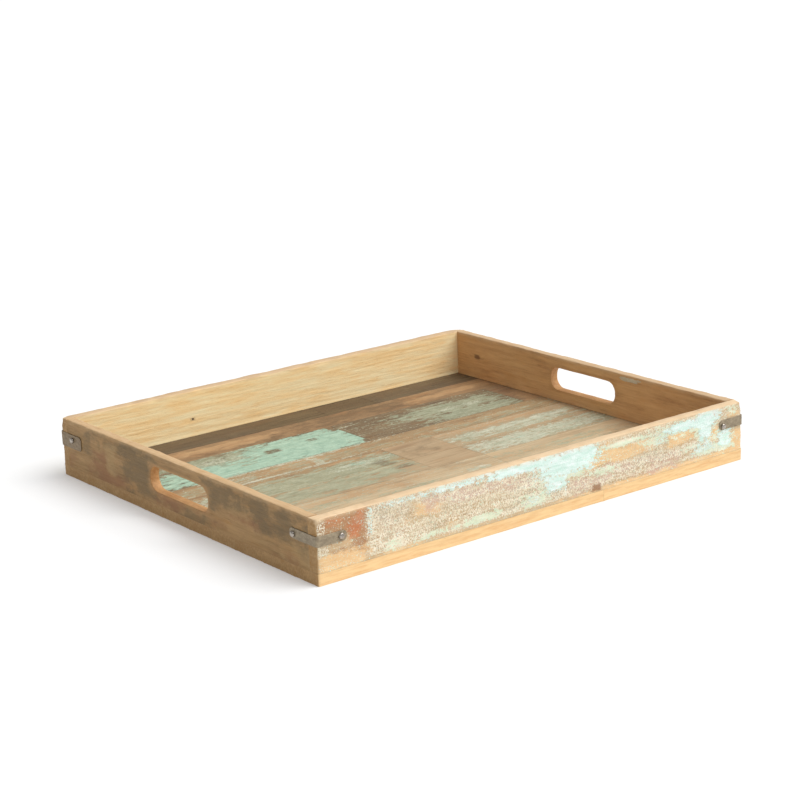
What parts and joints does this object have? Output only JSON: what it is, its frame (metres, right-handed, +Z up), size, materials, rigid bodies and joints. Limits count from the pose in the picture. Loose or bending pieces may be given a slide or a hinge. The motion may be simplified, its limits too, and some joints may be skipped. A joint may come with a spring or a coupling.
{
  "type": "wooden serving tray",
  "caption": "Shallow rectangular serving tray of worn reclaimed boards with a planked floor, a hand hole in each end and nailed steel corner straps.",
  "frame": {"origin": "middle of the underside, on the surface that the tray stands on", "axes": "+X along the long side boards, -Y towards the painted front board, +Z up"},
  "size_m": [0.5054, 0.4354, 0.0585],
  "materials": {
    "floor_wood": "worn reclaimed wood with faded mint paint",
    "painted_board_wood": "reclaimed wood under flaked mint and white paint",
    "back_board_wood": "planed honey-coloured wood",
    "end_board_wood": "dull grey-brown weathered wood",
    "strap_steel": "tarnished, with light rust",
    "nail_steel": "tarnished",
    "screw_steel": "zinc plated, dulled",
    "pin_steel": "plain drawn wire"
  },
  "bodies": {
    "root": {"corner_pins": "pin_steel", "corner_strap_back_left": "strap_steel", "corner_strap_back_right": "strap_steel", "corner_strap_front_left": "strap_steel", "corner_strap_front_right": "strap_steel", "end_board_left": "end_board_wood", "end_board_right": "end_board_wood", "floor_plank_01_left": "floor_wood", "floor_plank_01_right": "floor_wood", "floor_plank_02_full": "floor_wood", "floor_plank_03_left": "floor_wood", "floor_plank_03_middle": "floor_wood", "floor_plank_03_right": "floor_wood", "floor_plank_04_full": "floor_wood", "floor_plank_05_left": "floor_wood", "floor_plank_05_middle": "floor_wood", "floor_plank_05_right": "floor_wood", "floor_plank_06_left": "floor_wood", "floor_plank_06_middle": "floor_wood", "floor_plank_06_right": "floor_wood", "floor_plank_07_left": "floor_wood", "floor_plank_07_right": "floor_wood", "floor_plank_08_left": "floor_wood", "floor_plank_08_right": "floor_wood", "floor_plank_09_left": "floor_wood", "floor_plank_09_right": "floor_wood", "floor_plank_10_left": "floor_wood", "floor_plank_10_right": "floor_wood", "floor_screws": "screw_steel", "side_board_back": "back_board_wood", "side_board_front": "painted_board_wood", "strap_nails": "nail_steel"}
  },
  "joints": []
}
